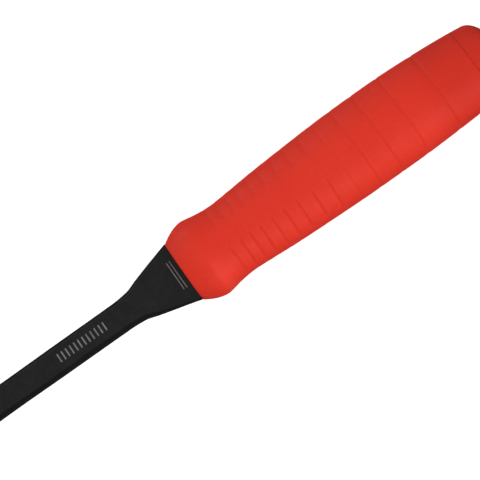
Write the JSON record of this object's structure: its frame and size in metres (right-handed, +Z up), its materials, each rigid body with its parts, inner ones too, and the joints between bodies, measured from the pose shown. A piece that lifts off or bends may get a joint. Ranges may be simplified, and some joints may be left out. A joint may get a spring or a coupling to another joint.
{
  "type": "compact halligan bar",
  "caption": "Compact one-hand forcible-entry bar: flat black forged shank, pinned adze-and-pike head, axial fork and soft red oval grip.",
  "frame": {"origin": "middle of the head's flat back, on the surface the tool lies on", "axes": "+X along the shank from the grip towards the fork, +Z up from the head's back towards the adze, the pike points to -Y"},
  "size_m": [0.457, 0.113, 0.096],
  "materials": {
    "black_steel": "satin black coating on forged carbon steel, rubbed along the edges",
    "pin_steel": "plain spring steel",
    "red_rubber": "matte soft moulded rubber",
    "red_cap": "matte, slightly harder moulded rubber",
    "core_plastic": "glass-filled nylon"
  },
  "bodies": {
    "root": {"shank": "black_steel", "adze_pike_head": "black_steel", "fork": "black_steel", "head_pins": "pin_steel", "fork_pins": "pin_steel", "core_upper": "core_plastic", "core_lower": "core_plastic", "tang_rivets": "pin_steel", "grip_sleeve": "red_rubber", "butt_cap": "red_cap", "lanyard_tube": "pin_steel"}
  },
  "joints": []
}
